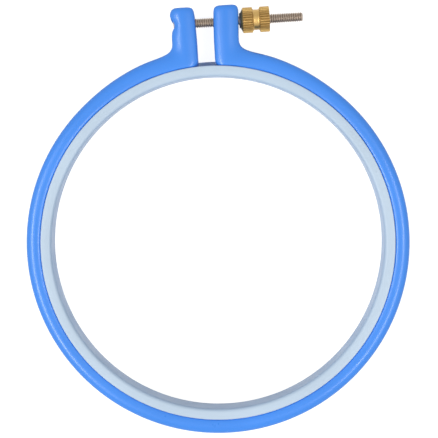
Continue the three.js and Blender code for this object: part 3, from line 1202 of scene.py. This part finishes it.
dress(inner_piece, pale_plastic, "pale_plastic", "inner_ring")
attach(inner_piece, "inner_hoop")

dress(outer_piece, blue_plastic, "blue_plastic", "outer_ring_left", "outer_ring_right")
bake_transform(outer_piece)

dress(screw_piece, steel_with_painted_warm_reflection, "screw_steel", "clamp_screw")
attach(screw_piece, "screw")

dress(nut_piece, brass, "nut_brass", "knurled_nut")
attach(nut_piece, "nut")
nut_piece.data.materials.append(brass_in_painted_shade)
# The nose's faces take the dark finish, which is painted shade.
nose_end = nut_low.x + NOSE_LENGTH
nose_faces = [f for f in nut_piece.data.polygons if f.center.x < nose_end]
for face in nose_faces:
    face.material_index = 1
print("oil blackens", len(nose_faces), "faces of the nut's nose")

# %% [markdown]
# ## Floor, light and camera
#
# The hoop lies on a white table under a soft studio light. Two long soft boxes hang over its left
# and right sides, and draw the two bright lines along the blue ring. The floor is a little
# brighter to the camera than the lamps make it, so that it reads as white paper while the shadow
# stays.

# %% Floor and backdrop
FLOOR_SIZE = 6.0
FLOOR_GAP = 0.1 * MM  # so that the floor and the ring's flat back never share a plane
FLOOR_COLOUR = 0.40
FLOOR_LIFT = 0.90  # what the camera sees on top, where 1 is white


def seen_directly(nodes, links):
    """A mask that is 1 for what the camera sees, straight or in a reflection."""
    path = nodes.new("ShaderNodeLightPath")
    total = path.outputs["Is Camera Ray"]
    for name in ("Is Glossy Ray", "Is Transmission Ray"):
        add = nodes.new("ShaderNodeMath")
        add.operation = "MAXIMUM"
        links.new(total, add.inputs[0])
        links.new(path.outputs[name], add.inputs[1])
        total = add.outputs["Value"]
    return total


def make_floor():
    bpy.ops.mesh.primitive_plane_add(size=FLOOR_SIZE, location=(0, 0, back - FLOOR_GAP))
    floor = bpy.context.view_layer.objects.active
    floor.name = "floor"
    material, shader = new_material("floor_paper")
    nodes, links = material.node_tree.nodes, material.node_tree.links
    shader.inputs["Base Color"].default_value = (FLOOR_COLOUR, FLOOR_COLOUR, FLOOR_COLOUR, 1)
    shader.inputs["Roughness"].default_value = 1.0
    shader.inputs["Specular IOR Level"].default_value = 0.0
    shader.inputs["Emission Color"].default_value = (1, 1, 1, 1)
    lift = nodes.new("ShaderNodeMath")
    lift.operation = "MULTIPLY"
    lift.inputs[1].default_value = FLOOR_LIFT
    links.new(seen_directly(nodes, links), lift.inputs[0])
    links.new(lift.outputs["Value"], shader.inputs["Emission Strength"])
    floor.data.materials.append(material)
    print("floor lies", round(FLOOR_GAP / MM, 2), "mm under the ring")


make_floor()

# %% Light
WORLD_LOW = 0.18  # at the horizon
WORLD_HIGH = 0.55  # overhead
WORLD_SEEN = 1.0
BOX_DISTANCE = 1.2


def make_world():
    world = bpy.data.worlds.new("studio")
    bpy.context.scene.world = world
    world.use_nodes = True
    nodes, links = world.node_tree.nodes, world.node_tree.links
    where = nodes.new("ShaderNodeTexCoord")
    split = nodes.new("ShaderNodeSeparateXYZ")
    links.new(where.outputs["Generated"], split.inputs["Vector"])
    light = nodes.new("ShaderNodeMapRange")
    light.inputs["To Min"].default_value = WORLD_LOW
    light.inputs["To Max"].default_value = WORLD_HIGH
    links.new(split.outputs["Z"], light.inputs["Value"])
    strength = nodes.new("ShaderNodeMapRange")
    strength.inputs["To Max"].default_value = WORLD_SEEN
    links.new(light.outputs["Result"], strength.inputs["To Min"])
    links.new(seen_directly(nodes, links), strength.inputs["Value"])
    nodes["Background"].inputs["Color"].default_value = (1, 1, 1, 1)
    links.new(strength.outputs["Result"], nodes["Background"].inputs["Strength"])


def soft_box(name, direction, width, length, power):
    """A soft box that looks at the ring's centre from a direction."""
    light = bpy.data.lights.new(name, "AREA")
    light.shape = "RECTANGLE"
    light.size = width
    light.size_y = length
    light.energy = power
    lamp = bpy.data.objects.new(name, light)
    bpy.context.scene.collection.objects.link(lamp)
    towards = Vector(direction).normalized()
    lamp.location = ring_centre + towards * BOX_DISTANCE
    lamp.rotation_mode = "QUATERNION"
    lamp.rotation_quaternion = towards.to_track_quat("Z", "X")
    print(name, "shines with", power, "W")


make_world()
soft_box("left_box", (-0.55, -0.15, 0.83), width=0.22, length=0.90, power=7.6)
soft_box("right_box", (0.45, -0.20, 0.88), width=0.14, length=0.80, power=5.0)

# %% [markdown]
# The photograph is taken from above the lugs' side of the ring, at arm's length. The camera stands
# there and leans towards the ring. It is rolled a little, because the hoop lies slightly turned.

# %% Camera
IMAGE_SIZE = 438  # pixels, both ways
SCALE = 2.8062 / MM  # pixels for each metre, where the camera aims
CAMERA_ABOVE = 359 * MM  # above the ring's front
CAMERA_ASIDE = (6.9 * MM, 28.4 * MM)  # from the ring's centre
AIM_ASIDE = (1.04 * MM, 9.03 * MM)
OBJECT_TURN = math.radians(3.45)
SENSOR = 36.0  # millimetres, the sensor's width


def make_camera():
    data = bpy.data.cameras.new("camera")
    camera = bpy.data.objects.new("camera", data)
    bpy.context.scene.collection.objects.link(camera)
    bpy.context.scene.camera = camera
    up = Vector((math.sin(OBJECT_TURN), math.cos(OBJECT_TURN), 0))
    centre = Vector((0, ring_y, front))
    target = centre + Vector((*AIM_ASIDE, 0))
    place = centre + Vector((*CAMERA_ASIDE, CAMERA_ABOVE))
    backwards = (place - target).normalized()
    sideways = up.cross(backwards).normalized()
    upwards = backwards.cross(sideways)
    turn = Matrix((sideways, upwards, backwards)).transposed()
    camera.matrix_world = Matrix.Translation(place) @ turn.to_4x4()
    data.sensor_width = SENSOR
    data.lens = SENSOR * (place - target).length * SCALE / IMAGE_SIZE
    data.clip_start = 0.01
    data.clip_end = 20
    print("camera looks from", tuple(place), "with a lens of", round(data.lens, 1), "mm")


make_camera()
bpy.context.scene.view_settings.view_transform = "Standard"
